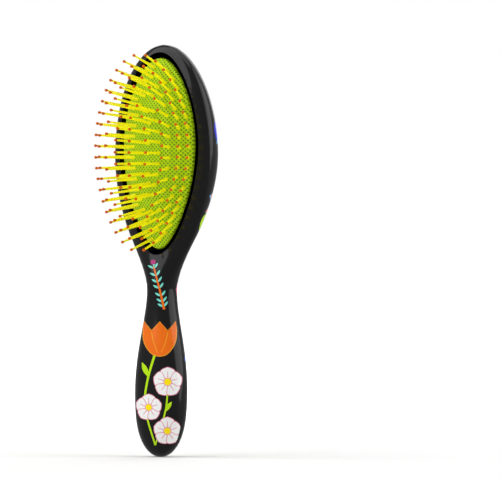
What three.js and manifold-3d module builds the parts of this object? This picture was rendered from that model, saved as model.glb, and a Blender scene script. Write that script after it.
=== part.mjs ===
// Cushion hairbrush: a hollow two-part moulded body, a domed rubber air cushion held in its head, and
// nylon pins with ball tips that stand in the cushion. Millimetres. Each piece is shaped with the brush
// lying on its back: x runs from tail to head, y across and z out of the cushion, from the plane where the
// shells meet. The finished brush is stood on its tail, with +Z up the handle and the pins towards -Y, and
// the origin is under the middle of its box.
import * as THREE from "three";
import { mergeVertices } from "three/addons/utils/BufferGeometryUtils.js";
import Module from "manifold-3d";

const wasm = await Module();
wasm.setup();

// ---- Body: where its sections stand along the length, and their half-widths, heights and depths ----
const OVERALL_LENGTH = 240;
const TIP_TO_HEAD = 64;
const HEAD_TO_SHOULDER = 50;
const SHOULDER_TO_NECK = 29;
const GRIP_TO_TAIL = 39;
const HEAD_WIDTH = 71.6;
const SHOULDER_WIDTH = 44.4;
const NECK_WIDTH = 16.6;
const GRIP_WIDTH = 32.4;
const HEAD_FRONT = 6.3;
const SHOULDER_FRONT = 5.2;
const NECK_FRONT = 8.2;
const GRIP_FRONT = 11.8;
const HEAD_BACK = 20.6;
const SHOULDER_BACK = 8.6;
const NECK_BACK = 8.4;
const GRIP_BACK = 11.8;
const SECTION_POWER = 2.4; // 2 is an ellipse, and more is squarer
const REST_LAND = 0.8; // the crown of the back is cut off flat by this much, so that the brush lies still
const TAIL_LAND = 0.15; // and the round end of the tail by this much
const WALL = 2.2;
const END_WALL = 3.2;

// ---- Cushion opening and the seat under its lip ----
const RIM_SIDE = 9.3;
const RIM_TIP = 7.6;
const RIM_SHOULDER = 5.2; // the opening runs this far past the shoulder section
const OPENING_EGG = 0.1; // fuller towards the tip
const OPENING_TAPER = -0.2; // leaner at both ends than an ellipse
const LIP_Z = 3.2;
const LIP_ROUND = 3.4; // how far outside the opening its rounded edge begins
const LIP_BEND = [{ out: 0.35, rise: 0.75 }, { out: 0.7, rise: 1.1 }]; // out is a share of the rounding
const SEAT_Z = 1.9;
const SEAT_WIDTH = 3.4;

// ---- Cushion ----
const DOME_EDGE_Z = 4;
const DOME_HEIGHT = 9.3;
const PAD_THICKNESS = 1.6;
const PAD_GAP = 0.35;
const FLANGE_THICKNESS = 1.4;
const FLANGE_CLEARANCE = 0.6;

// ---- Carrier under the cushion, and what locates the shells ----
const CARRIER_THICKNESS = 1.8;
const CARRIER_CLEARANCE = 0.4;
const COLLAR_WALL = 1.4;
const COLLAR_HEIGHT = 1.2;
const COLLAR_GAP = 0.4;
const VENT_R = 1.5;
const POST_R = 2.4;
const POSTS = 8;
const POST_INSET = 1.6;
const BOSS_R = 3;
const TAIL_BOSS = 17; // each boss's distance: from the tail, past the grip and past the neck
const GRIP_BOSS = 18;
const NECK_BOSS = 11;
const PEG_R = 1.3;
const PEG_LENGTH = 3;
const PEG_CLEARANCE = 0.3;

// ---- Pins ----
const PIN_LENGTH = 18; // from the cushion to the middle of the ball tip
const PIN_ROOT_R = 0.75;
const PIN_END_R = 0.52;
const BALL_R = 0.88;
const PIN_SIDES = 5;
const HOLE_CLEARANCE = 0.2;
const HOLE_SIDES = 4;
const STRIP_WIDTH = 2;
const STRIP_THICKNESS = 0.9;
const STRIP_GAP = 0.5; // under the cushion
const FIELD_MARGIN_SIDE = 2.6; // from the edge of the opening to the outer ring of pins
const FIELD_MARGIN_END = 5.2;
const RINGS = [
  { name: "outer", pins: 40, perNode: 4, wide: 1, long: 1, leanSide: 36, leanEnd: 21 },
  { name: "second", pins: 36, perNode: 4, wide: 0.795, long: 0.889, leanSide: 36, leanEnd: 18.5 },
  { name: "third", pins: 28, perNode: 4, wide: 0.552, long: 0.781, leanSide: 26.4, leanEnd: 17 },
  { name: "inner", pins: 18, perNode: 2, wide: 0.297, long: 0.514, leanSide: 14.1, leanEnd: 10 },
];
const CENTRE_ROW = [-0.66, -0.346, -0.231, -0.115, 0, 0.115, 0.231, 0.346, 0.66]; // share of the pin field
const CENTRE_LEAN_END = 24; // at the end of the pin field

// ---- Worked out from the sizes above ----
const TIP_X = OVERALL_LENGTH / 2;
const HEAD_X = TIP_X - TIP_TO_HEAD;
const SHOULDER_X = HEAD_X - HEAD_TO_SHOULDER;
const NECK_X = SHOULDER_X - SHOULDER_TO_NECK;
const TAIL_X = -OVERALL_LENGTH / 2;
const GRIP_X = TAIL_X + GRIP_TO_TAIL;
const REST_DEPTH = HEAD_BACK - REST_LAND;
const OPENING_TIP = TIP_X - RIM_TIP;
const OPENING_TAIL = SHOULDER_X - RIM_SHOULDER;
const OPENING_X = (OPENING_TIP + OPENING_TAIL) / 2;
const OPENING_LONG = (OPENING_TIP - OPENING_TAIL) / 2;
const OPENING_WIDE = HEAD_WIDTH / 2 - RIM_SIDE;
const FIELD_LONG = OPENING_LONG - FIELD_MARGIN_END;
const FIELD_WIDE = OPENING_WIDE - FIELD_MARGIN_SIDE;
const FLANGE_Z = SEAT_Z - FLANGE_THICKNESS;
const CARRIER_Z = FLANGE_Z - CARRIER_THICKNESS;

// Each section gives its half-width, front height and back depth. Their squares are joined by cubics, so
// both ends close round, and rise is a square's slope there: at an end, twice the radius of the nose.
const STATIONS = [
  { x: TAIL_X - TAIL_LAND, wide: 0, front: 0, back: 0, rise: { wide: 19, front: 10, back: 10 } },
  { x: GRIP_X, wide: GRIP_WIDTH / 2, front: GRIP_FRONT, back: GRIP_BACK, rise: {} },
  { x: NECK_X, wide: NECK_WIDTH / 2, front: NECK_FRONT, back: NECK_BACK, rise: {} },
  {
    x: SHOULDER_X,
    wide: SHOULDER_WIDTH / 2,
    front: SHOULDER_FRONT,
    back: SHOULDER_BACK,
    rise: { wide: 26, back: 5 },
  },
  { x: HEAD_X, wide: HEAD_WIDTH / 2, front: HEAD_FRONT, back: HEAD_BACK, rise: {} },
  { x: TIP_X, wide: 0, front: 0, back: 0, rise: { wide: -40, front: -3.6, back: -9 } },
];

const lacquer = new THREE.MeshStandardMaterial({ color: 0x0d0d10, roughness: 0.12, metalness: 0 });
const lining = new THREE.MeshStandardMaterial({ color: 0x26262a, roughness: 0.6, metalness: 0 });
const rubber = new THREE.MeshStandardMaterial({ color: 0x86c400, roughness: 0.7, metalness: 0 });
const nylon = new THREE.MeshStandardMaterial({ color: 0xeef000, roughness: 0.35, metalness: 0 });

// ---- Solids ----
function solidOf(geometry) {
  const bare = geometry.index ? geometry.toNonIndexed() : geometry.clone();
  bare.deleteAttribute("normal");
  bare.deleteAttribute("uv");
  const merged = mergeVertices(bare, 1e-4);
  return new wasm.Manifold(
    new wasm.Mesh({
      numProp: 3,
      vertProperties: merged.attributes.position.array,
      triVerts: new Uint32Array(merged.index.array),
    }),
  );
}

function meshOf(name, solid, material) {
  const { numProp, numVert, vertProperties, triVerts } = solid.getMesh();
  const positions = new Float32Array(numVert * 3);
  for (let i = 0; i < numVert; i++) {
    positions.set(vertProperties.subarray(i * numProp, i * numProp + 3), i * 3);
  }
  const geometry = new THREE.BufferGeometry();
  geometry.setAttribute("position", new THREE.BufferAttribute(positions, 3));
  geometry.setIndex(new THREE.BufferAttribute(triVerts, 1));
  geometry.computeVertexNormals();
  const mesh = new THREE.Mesh(geometry, material);
  mesh.name = name;
  return mesh;
}

// A closed skin over rings of points, each seen from the far end going anticlockwise, closed by fans.
function loft(rings, first = centreOf(rings[0]), last = centreOf(rings.at(-1))) {
  const count = rings[0].length;
  const points = [first, ...rings.flat(), last];
  const index = [];
  const at = (ring, i) => 1 + ring * count + (i % count);
  for (let i = 0; i < count; i++) {
    index.push(0, at(0, i + 1), at(0, i));
    index.push(points.length - 1, at(rings.length - 1, i), at(rings.length - 1, i + 1));
    for (let ring = 0; ring + 1 < rings.length; ring++) {
      index.push(at(ring, i), at(ring, i + 1), at(ring + 1, i));
      index.push(at(ring, i + 1), at(ring + 1, i + 1), at(ring + 1, i));
    }
  }
  return solidOf(new THREE.BufferGeometry().setFromPoints(points).setIndex(index));
}

function centreOf(ring) {
  return ring.reduce((sum, p) => sum.add(p), new THREE.Vector3()).divideScalar(ring.length);
}

function cylinder(radius, x, y, bottom, top, sides = 12) {
  const geometry = new THREE.CylinderGeometry(radius, radius, top - bottom, sides);
  geometry.rotateX(Math.PI / 2).translate(x, y, (bottom + top) / 2);
  return solidOf(geometry);
}

// ---- Body surface ----
function bodySize(x, key) {
  const next = Math.min(Math.max(STATIONS.findIndex((s) => s.x >= x), 1), STATIONS.length - 1);
  const [from, to] = [STATIONS[next - 1], STATIONS[next]];
  const span = to.x - from.x;
  const t = THREE.MathUtils.clamp((x - from.x) / span, 0, 1);
  const square =
    from[key] ** 2 * (2 * t ** 3 - 3 * t ** 2 + 1) +
    to[key] ** 2 * (3 * t ** 2 - 2 * t ** 3) +
    (from.rise[key] ?? 0) * span * (t ** 3 - 2 * t ** 2 + t) +
    (to.rise[key] ?? 0) * span * (t ** 3 - t ** 2);
  return Math.sqrt(Math.max(square, 0));
}

// Half of a cross-section, from the +Y edge over the crown to the -Y edge, wall in from the outside.
function halfSection(x, side, wall, steps) {
  const wide = Math.max(bodySize(x, "wide") - wall, 0.3);
  const high = Math.max(bodySize(x, side) - wall, 0.3);
  const sign = side === "front" ? 1 : -1;
  return Array.from({ length: steps + 1 }, (_, i) => {
    const angle = (Math.PI * i) / steps;
    const across = Math.sign(Math.cos(angle)) * Math.abs(Math.cos(angle)) ** (2 / SECTION_POWER);
    const up = i % steps === 0 ? 0 : Math.sin(angle) ** (2 / SECTION_POWER);
    return new THREE.Vector3(x, wide * across, sign * high * up);
  });
}

const CROWDING = 0.77; // 0 spaces the sections evenly, and 1 crowds them most towards the ends

// Places along the body, closer together near its round ends.
function spread(from, to, count) {
  return Array.from({ length: count }, (_, i) => {
    const t = i / (count - 1);
    const shift = (CROWDING * Math.sin(2 * Math.PI * t)) / (2 * Math.PI);
    return THREE.MathUtils.lerp(from, to, t - shift);
  });
}

const PAST = 1; // a cutter or a joined piece is carried this far past the face that it crosses
const OUTER_SECTIONS = 34;
const OUTER_STEPS = 12;
const INNER_SECTIONS = 20;
const INNER_STEPS = 8;

// The solid without what lies deeper than this, which flattens the crown of the back.
function flattened(solid, depth) {
  const beyond = new THREE.BoxGeometry(OVERALL_LENGTH, HEAD_WIDTH, HEAD_BACK);
  return solid.subtract(solidOf(beyond.translate(0, 0, -depth - HEAD_BACK / 2)));
}

function halfBody(side) {
  const places = spread(TAIL_X, TIP_X, OUTER_SECTIONS).slice(0, -1);
  const rings = places.map((x) => halfSection(x, side, 0, OUTER_STEPS));
  const facing = side === "front" ? rings : rings.map((ring) => ring.reverse());
  const whole = loft(facing, new THREE.Vector3(TAIL_X, 0, 0), new THREE.Vector3(TIP_X, 0, 0));
  return flattened(whole, REST_DEPTH);
}

// The hollow inside a half, carried a little past the parting plane so that it cuts clean through it.
function halfHollow(side) {
  const past = side === "front" ? -PAST : PAST;
  const rings = spread(TAIL_X + END_WALL, TIP_X - END_WALL, INNER_SECTIONS).map((x) => {
    const arc = halfSection(x, side, WALL, INNER_STEPS);
    const [first, last] = [arc[0].clone().setZ(past), arc.at(-1).clone().setZ(past)];
    const ring = [first, ...arc, last];
    return side === "front" ? ring : ring.reverse();
  });
  return flattened(loft(rings), REST_DEPTH - WALL);
}

// ---- Opening: an egg-shaped outline, scaled for a ring of pins or offset for an edge ----
const OUTLINE_POINTS = 32;

function openingPoint(angle, long = OPENING_LONG, wide = OPENING_WIDE) {
  const c = Math.cos(angle);
  const fullness = 1 + OPENING_EGG * c + OPENING_TAPER * c * c;
  return new THREE.Vector2(OPENING_X + long * c, wide * Math.sin(angle) * fullness);
}

function outline(offset, count = OUTLINE_POINTS) {
  const step = 1e-3; // radians either side, for the outline's direction
  return Array.from({ length: count }, (_, i) => {
    const angle = (2 * Math.PI * i) / count;
    const along = openingPoint(angle + step).sub(openingPoint(angle - step)).normalize();
    return openingPoint(angle).add(new THREE.Vector2(along.y, -along.x).multiplyScalar(offset));
  });
}

// A solid whose walls follow the opening, given as [offset, z] from bottom to top.
function ovalSolid(steps) {
  return loft(steps.map(([offset, z]) => outline(offset).map((p) => new THREE.Vector3(p.x, p.y, z))));
}

function domeZ(x, y) {
  const c = (x - OPENING_X) / OPENING_LONG;
  const fullness = 1 + OPENING_EGG * c + OPENING_TAPER * c * c;
  const across = y / (OPENING_WIDE * fullness);
  return DOME_EDGE_Z + DOME_HEIGHT * (1 - c * c - across * across);
}

// ---- Shells ----
const BOSS_PLACES = [TAIL_X + TAIL_BOSS, GRIP_X + GRIP_BOSS, NECK_X + NECK_BOSS];

function frontShell() {
  const body = halfBody("front");
  const seat = ovalSolid([[SEAT_WIDTH, SEAT_Z], [SEAT_WIDTH, HEAD_FRONT + PAST]]).intersect(body);
  const bend = LIP_BEND.map(({ out, rise }) => [LIP_ROUND * out, LIP_Z + rise]);
  const opening = ovalSolid([[0, -PAST], [0, LIP_Z], ...bend, [LIP_ROUND, HEAD_FRONT + PAST]]);
  let shell = body.subtract(halfHollow("front")).add(seat);
  for (const x of BOSS_PLACES) {
    shell = shell.add(cylinder(BOSS_R, x, 0, 0, GRIP_FRONT).intersect(body));
    shell = shell.add(cylinder(PEG_R, x, 0, -PEG_LENGTH, PAST));
  }
  const pocket = ovalSolid([[SEAT_WIDTH, -PAST], [SEAT_WIDTH, SEAT_Z]]);
  return shell.subtract(pocket).subtract(opening);
}

function backShell() {
  const body = halfBody("back");
  let shell = body.subtract(halfHollow("back"));
  for (const x of BOSS_PLACES) {
    shell = shell.add(cylinder(BOSS_R, x, 0, -GRIP_BACK, 0).intersect(body));
    shell = shell.subtract(cylinder(PEG_R + PEG_CLEARANCE, x, 0, -PEG_LENGTH - PEG_CLEARANCE, PAST));
  }
  for (const p of outline(-POST_INSET, POSTS)) {
    shell = shell.add(cylinder(POST_R, p.x, p.y, -HEAD_BACK, CARRIER_Z).intersect(body));
  }
  return shell;
}

function carrier() {
  const edge = SEAT_WIDTH - CARRIER_CLEARANCE;
  const collar = -PAD_GAP - PAD_THICKNESS - COLLAR_GAP;
  const top = FLANGE_Z + COLLAR_HEIGHT;
  return ovalSolid([[edge, CARRIER_Z], [edge, FLANGE_Z]])
    .add(ovalSolid([[collar, CARRIER_Z], [collar, top]]))
    .subtract(ovalSolid([[collar - COLLAR_WALL, FLANGE_Z], [collar - COLLAR_WALL, top + PAST]]))
    .subtract(cylinder(VENT_R, OPENING_X, 0, CARRIER_Z - PAST, FLANGE_Z + PAST));
}

// ---- Pins: where each stands on the cushion, and the way it leans ----
function pin(x, y, leanX, leanY) {
  const way = new THREE.Vector3(Math.tan(leanX), Math.tan(leanY), 1).normalize();
  return { foot: new THREE.Vector3(x, y, domeZ(x, y)), way };
}

// Evenly spaced round an egg-shaped ring.
function ringPins({ pins, wide, long, leanSide, leanEnd }) {
  const samples = 720;
  const at = (i) => openingPoint((2 * Math.PI * i) / samples, FIELD_LONG * long, FIELD_WIDE * wide);
  const walked = [0];
  for (let i = 1; i <= samples; i++) walked.push(walked[i - 1] + at(i).distanceTo(at(i - 1)));
  return Array.from({ length: pins }, (_, k) => {
    const i = walked.findIndex((d) => d >= (walked[samples] * (k + 0.5)) / pins);
    const angle = (2 * Math.PI * i) / samples;
    const leanX = THREE.MathUtils.degToRad(leanEnd) * Math.cos(angle);
    const leanY = THREE.MathUtils.degToRad(leanSide) * Math.sin(angle);
    return pin(at(i).x, at(i).y, leanX, leanY);
  });
}

const centrePins = CENTRE_ROW.map((share) =>
  pin(OPENING_X + share * FIELD_LONG, 0, THREE.MathUtils.degToRad(CENTRE_LEAN_END * share), 0),
);
const rings = RINGS.map((ring) => ({ ...ring, placed: ringPins(ring) }));

// A turned shape standing on a pin's foot, from [radius, height] points up its axis.
function turned({ foot, way }, profile, sides = PIN_SIDES) {
  const points = profile.map(([radius, height]) => new THREE.Vector2(radius, height));
  const geometry = new THREE.LatheGeometry(points, sides);
  geometry.applyQuaternion(new THREE.Quaternion().setFromUnitVectors(new THREE.Vector3(0, 1, 0), way));
  geometry.translate(foot.x, foot.y, foot.z);
  return solidOf(geometry);
}

const STRIP_TOP = -PAD_THICKNESS - STRIP_GAP;
const STRIP_MIDDLE = STRIP_TOP - STRIP_THICKNESS / 2;

function pinSolid(place) {
  return turned(place, [
    [0, STRIP_MIDDLE],
    [PIN_ROOT_R, STRIP_MIDDLE],
    [PIN_END_R, PIN_LENGTH - BALL_R],
    [BALL_R, PIN_LENGTH],
    [0, PIN_LENGTH + BALL_R],
  ]);
}

function headedPin(place) {
  const bottom = STRIP_TOP - STRIP_THICKNESS;
  return turned(place, [[0, bottom], [STRIP_WIDTH / 2, bottom], [STRIP_WIDTH / 2, STRIP_TOP], [0, STRIP_TOP]])
    .add(pinSolid(place));
}

// The strip under the cushion that a few neighbouring pins stand on, square across at each of them.
function strip(places) {
  const middles = places.map(({ foot, way }) => foot.clone().addScaledVector(way, STRIP_MIDDLE));
  const reach = (from, to) => to.clone().sub(from).setLength(STRIP_WIDTH / 2);
  const before = middles[0].clone().sub(reach(middles[0], middles[1]));
  const after = middles.at(-1).clone().add(reach(middles.at(-2), middles.at(-1)));
  const line = [before, ...middles, after];
  const ways = [places[0].way, ...places.map((place) => place.way), places.at(-1).way];
  const sections = line.map((middle, i) => {
    const along = line[Math.min(i + 1, line.length - 1)].clone().sub(line[Math.max(i - 1, 0)]);
    const across = along.cross(ways[i]).setLength(STRIP_WIDTH / 2);
    const up = ways[i].clone().setLength(STRIP_THICKNESS / 2);
    const corner = (a, b) => middle.clone().addScaledVector(across, a).addScaledVector(up, b);
    return [corner(1, 1), corner(1, -1), corner(-1, -1), corner(-1, 1)];
  });
  return loft(sections);
}

function pinCluster(places) {
  return places.map(pinSolid).reduce((whole, piece) => whole.add(piece), strip(places));
}

// ---- Cushion: a dome whose edge turns down the opening and out under the lip as a flange ----
function cushion() {
  const rim = outline(-PAD_GAP);
  const inside = outline(-PAD_GAP - PAD_THICKNESS);
  const shares = [0.2, 0.5, 0.78, 1]; // rings of the dome, as shares of the way out to its edge
  const centre = new THREE.Vector3(OPENING_X, 0, 0);
  const domed = (edge, share, drop) =>
    edge.map((p) => {
      const [x, y] = [THREE.MathUtils.lerp(centre.x, p.x, share), p.y * share];
      return new THREE.Vector3(x, y, domeZ(x, y) - drop);
    });
  const level = (offset, z) => outline(offset).map((p) => new THREE.Vector3(p.x, p.y, z));
  const flange = SEAT_WIDTH - FLANGE_CLEARANCE;
  const skin = [
    ...shares.map((share) => domed(inside, share, PAD_THICKNESS)),
    level(-PAD_GAP - PAD_THICKNESS, FLANGE_Z),
    level(flange, FLANGE_Z),
    level(flange, SEAT_Z),
    level(-PAD_GAP, SEAT_Z),
    ...shares.toReversed().map((share) => domed(rim, share, 0)),
  ];
  const under = centre.clone().setZ(domeZ(OPENING_X, 0) - PAD_THICKNESS);
  const crown = centre.clone().setZ(domeZ(OPENING_X, 0));
  const holes = [...rings.flatMap((ring) => ring.placed), ...centrePins].map((place) => {
    const radius = (PIN_ROOT_R + HOLE_CLEARANCE) / Math.cos(Math.PI / HOLE_SIDES);
    const [low, high] = [-PAD_THICKNESS * 2, PAD_THICKNESS];
    return turned(place, [[0, low], [radius, low], [radius, high], [0, high]], HOLE_SIDES);
  });
  return loft(skin, under, crown).subtract(wasm.Manifold.union(holes));
}

// ---- Assembly ----
const brush = new THREE.Group();
brush.add(meshOf("front_shell", frontShell(), lacquer));
brush.add(meshOf("back_shell", backShell(), lacquer));
brush.add(meshOf("cushion_carrier", carrier(), lining));
brush.add(meshOf("air_cushion", cushion(), rubber));
for (const { name, perNode, placed } of rings) {
  for (let i = 0; i < placed.length; i += perNode) {
    const label = String(i / perNode + 1).padStart(2, "0");
    brush.add(meshOf(`pins_${name}_${label}`, pinCluster(placed.slice(i, i + perNode)), nylon));
  }
}
centrePins.forEach((place, i) => {
  brush.add(meshOf(`pin_centre_${i + 1}`, headedPin(place), nylon));
});

// Stand it up: x turns to +Z, y to -X and z to -Y, and the middle of its box comes over the origin.
const standing = new THREE.Matrix4().makeBasis(
  new THREE.Vector3(0, 0, 1),
  new THREE.Vector3(-1, 0, 0),
  new THREE.Vector3(0, -1, 0),
);
brush.quaternion.setFromRotationMatrix(standing);
const box = new THREE.Box3().setFromObject(brush, true);
brush.position.set(0, -(box.min.y + box.max.y) / 2, -box.min.z);

export default brush;
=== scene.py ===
"""A large oval cushion hairbrush: flower-printed shells, a rubber air cushion and dipped nylon pins."""
import logging
import math
from dataclasses import dataclass, field
from enum import Enum

import bpy
import numpy as np
from mathutils import Matrix, Vector
from mathutils.geometry import delaunay_2d_cdt
from mathutils.kdtree import KDTree


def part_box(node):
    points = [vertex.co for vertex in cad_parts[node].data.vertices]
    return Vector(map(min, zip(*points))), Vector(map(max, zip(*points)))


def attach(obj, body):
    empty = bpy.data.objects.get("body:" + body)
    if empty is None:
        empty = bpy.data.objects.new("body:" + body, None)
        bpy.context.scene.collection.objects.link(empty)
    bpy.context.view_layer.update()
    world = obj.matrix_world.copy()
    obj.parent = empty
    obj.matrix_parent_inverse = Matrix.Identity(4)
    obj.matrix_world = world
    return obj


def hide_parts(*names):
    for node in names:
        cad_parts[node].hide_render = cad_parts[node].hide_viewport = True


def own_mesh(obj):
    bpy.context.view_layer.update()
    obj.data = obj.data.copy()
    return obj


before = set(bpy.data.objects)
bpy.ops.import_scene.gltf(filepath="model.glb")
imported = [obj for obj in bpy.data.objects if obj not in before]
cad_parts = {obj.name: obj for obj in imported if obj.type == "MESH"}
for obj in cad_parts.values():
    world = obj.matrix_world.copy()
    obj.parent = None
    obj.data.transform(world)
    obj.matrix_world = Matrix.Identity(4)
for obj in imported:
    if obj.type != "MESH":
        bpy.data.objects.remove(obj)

log = logging.getLogger("hairbrush")
MM = 0.001
JOIN = 2e-7  # vertices nearer than this, in metres, are one vertex
SAME = 1e-5  # points of a flat mesh nearer than this, in mm, are one point


class Side(Enum):
    """The two halves of the body. Each has its own chart, seen from its own side."""

    FRONT = "front"
    BACK = "back"


# ---------------------------------------------------------------- form
@dataclass(frozen=True)
class Station:
    """Half-width, front height and back depth at one place, in mm; rise is the slope of their squares."""

    along: float
    wide: float
    front: float
    back: float
    rise: tuple[float, float, float] = (0.0, 0.0, 0.0)


@dataclass(frozen=True)
class BodyForm:
    """The body's outer surface. Along runs up from the tail, across to the right, and out to the pins."""

    stations: tuple[Station, ...] = (
        Station(-0.15, 0, 0, 0, (19, 10, 10)),
        Station(39, 16.2, 11.8, 11.8),
        Station(97, 8.3, 8.2, 8.4),
        Station(126, 22.2, 5.2, 8.6, (26, 0, 5)),
        Station(176, 35.8, 6.3, 20.6),
        Station(240, 0, 0, 0, (-40, -3.6, -9)),
    )
    power: float = 2.4
    rest_depth: float = 19.8
    steps: int = 96

    @property
    def length(self) -> float:
        """The body's whole length."""
        return self.stations[-1].along

    def size(self, along: np.ndarray, part: int) -> np.ndarray:
        """Half-width (0), front height (1) or back depth (2).

        Args:
            along: places along the body, in mm.
            part: which of the three sizes.

        Returns:
            That size at each place, in mm.
        """
        along = np.asarray(along, float)
        ends = np.array([s.along for s in self.stations])
        values = np.array([(s.wide, s.front, s.back)[part] ** 2 for s in self.stations])
        slopes = np.array([s.rise[part] for s in self.stations])
        i = np.clip(np.searchsorted(ends, along) - 1, 0, len(ends) - 2)
        span = ends[i + 1] - ends[i]
        t = np.clip((along - ends[i]) / span, 0, 1)
        square = (
            values[i] * (2 * t**3 - 3 * t**2 + 1)
            + values[i + 1] * (3 * t**2 - 2 * t**3)
            + slopes[i] * span * (t**3 - 2 * t**2 + t)
            + slopes[i + 1] * span * (t**3 - t**2)
        )
        return np.sqrt(np.maximum(square, 1e-9))

    def half_section(self, along: np.ndarray, side: Side) -> tuple[np.ndarray, np.ndarray, np.ndarray]:
        """A section from the crown to the edge, at each place.

        Args:
            along: places along the body.
            side: which half.

        Returns:
            Across, depth and arc length from the crown, each with a row for every place.
        """
        theta = np.linspace(math.pi / 2, 0, self.steps)
        wide = self.size(along, 0)[:, None]
        deep = self.size(along, 1 if side is Side.FRONT else 2)[:, None]
        across = wide * np.clip(np.cos(theta), 0, 1) ** (2 / self.power)
        depth = np.minimum(deep * np.clip(np.sin(theta), 0, 1) ** (2 / self.power), self.rest_depth)
        across[:, 0] = 0
        depth[:, -1] = 0
        step = np.hypot(np.diff(across), np.diff(depth))
        arc = np.concatenate([np.zeros((len(step), 1)), np.cumsum(step, axis=1)], axis=1)
        return across, depth, arc

    def reach(self, along: np.ndarray, side: Side) -> np.ndarray:
        """Arc length from crown to edge at each place."""
        return self.half_section(np.atleast_1d(along), side)[2][:, -1]

    def points(self, chart: np.ndarray, side: Side) -> np.ndarray:
        """Points of the surface.

        Args:
            chart: rows of (arc from the crown, along), arc to the right as seen from that side.
            side: which half.

        Returns:
            Rows of (across to the right seen from the front, out, along), in mm.
        """
        across, depth, arc = self.half_section(chart[:, 1], side)
        a = np.minimum(np.abs(chart[:, 0]), arc[:, -1])
        i = np.clip((arc < a[:, None]).sum(axis=1), 1, self.steps - 1)
        rows = np.arange(len(chart))
        low, high = arc[rows, i - 1], arc[rows, i]
        t = np.clip((a - low) / np.maximum(high - low, 1e-9), 0, 1)
        x = across[rows, i - 1] * (1 - t) + across[rows, i] * t
        d = depth[rows, i - 1] * (1 - t) + depth[rows, i] * t
        sign = np.sign(chart[:, 0])
        if side is Side.FRONT:
            return np.stack([x * sign, d, chart[:, 1]], axis=1)
        return np.stack([-x * sign, -d, chart[:, 1]], axis=1)

    def normals(self, points: np.ndarray, side: Side) -> np.ndarray:
        """Outward normals.

        Args:
            points: rows of (across, out, along) on the surface.
            side: which half.

        Returns:
            Rows of unit vectors in the same axes.
        """
        step = 1e-3
        along = np.clip(points[:, 2], step, self.length - 2 * step)
        part = 1 if side is Side.FRONT else 2
        wide, deep = self.size(along, 0), self.size(along, part)
        wide_slope = (self.size(along + step, 0) - self.size(along - step, 0)) / (2 * step)
        deep_slope = (self.size(along + step, part) - self.size(along - step, part)) / (2 * step)
        x, y = np.abs(points[:, 0]) / wide, np.abs(points[:, 1]) / deep
        p = self.power
        grad = np.stack(
            [
                np.sign(points[:, 0]) * x ** (p - 1) / wide,
                np.sign(points[:, 1]) * y ** (p - 1) / deep,
                -(x**p * wide_slope / wide + y**p * deep_slope / deep),
            ],
            axis=1,
        )
        return grad / np.maximum(np.linalg.norm(grad, axis=1, keepdims=True), 1e-12)

    def wrap(self, seen: np.ndarray, side: Side, turn: float = 0.0) -> np.ndarray:
        """Lays a flat drawing on the body, as it looks from one side.

        Args:
            seen: rows of (right, along) in the drawing, in mm.
            side: which half it lies on.
            turn: how far the viewer stands round to the right of that half's middle, in degrees.

        Returns:
            Rows of (arc, along) on that half's chart.
        """
        across, depth, arc = self.half_section(seen[:, 1], side)
        across = np.concatenate([-across[:, :0:-1], across], axis=1)
        depth = np.concatenate([depth[:, :0:-1], depth], axis=1)
        arc = np.concatenate([-arc[:, :0:-1], arc], axis=1)
        angle = math.radians(turn)
        right = across * math.cos(angle) - depth * math.sin(angle)
        out = []
        for row, (place, along) in enumerate(seen):
            last = int(np.argmax(right[row]))
            first = int(np.argmin(right[row, : last + 1]))
            out.append((np.interp(place, right[row, first : last + 1], arc[row, first : last + 1]), along))
        return np.array(out)


@dataclass(frozen=True)
class Opening:
    """The egg-shaped opening that the cushion fills, in (across, along)."""

    tip: float = 232.4
    tail: float = 120.8
    wide: float = 26.5
    egg: float = 0.1
    taper: float = -0.2

    @property
    def centre(self) -> float:
        """The middle of the opening, along the body."""
        return (self.tip + self.tail) / 2

    @property
    def long(self) -> float:
        """Half the opening's length."""
        return (self.tip - self.tail) / 2

    def at(self, angle: np.ndarray, long: float, wide: float) -> np.ndarray:
        """Points of the egg with these half-sizes."""
        c = np.cos(angle)
        fullness = 1 + self.egg * c + self.taper * c * c
        return np.stack([wide * np.sin(angle) * fullness, self.centre + long * c], axis=-1)

    def outline(self, offset: float, count: int) -> np.ndarray:
        """The opening's outline.

        Args:
            offset: how far outside the opening, in mm.
            count: how many points.

        Returns:
            Rows of (across, along).
        """
        angle = np.linspace(0, 2 * math.pi, count, endpoint=False)
        step = 1e-3
        way = self.at(angle + step, self.long, self.wide) - self.at(angle - step, self.long, self.wide)
        way /= np.linalg.norm(way, axis=1, keepdims=True)
        outward = np.stack([-way[:, 1], way[:, 0]], axis=1)
        return self.at(angle, self.long, self.wide) + outward * offset


@dataclass(frozen=True)
class DomeForm:
    """The cushion's dome over the opening, in mm out of the plane where the shells meet."""

    opening: Opening = Opening()
    edge: float = 4.0
    height: float = 9.3

    def out(self, across: np.ndarray, along: np.ndarray) -> np.ndarray:
        """How far out the dome stands at each place."""
        c = (along - self.opening.centre) / self.opening.long
        fullness = 1 + self.opening.egg * c + self.opening.taper * c * c
        y = across / (self.opening.wide * fullness)
        return self.edge + self.height * (1 - c * c - y * y)


class Placing:
    """Turns millimetres of (across, out, along) into the frame's metres, from where the CAD's shells are."""

    def __init__(self) -> None:
        """Reads the plane where the shells meet and the tail's end."""
        low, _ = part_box("back_shell")
        self.parting = low.y
        self.tail = low.z

    def metres(self, points: np.ndarray) -> np.ndarray:
        """Places in the frame."""
        return np.stack(
            [points[:, 0] * MM, self.parting - points[:, 1] * MM, self.tail + points[:, 2] * MM], axis=1
        )

    def way(self, vectors: np.ndarray) -> np.ndarray:
        """Directions in the frame."""
        return np.stack([vectors[:, 0], -vectors[:, 1], vectors[:, 2]], axis=1)


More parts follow.
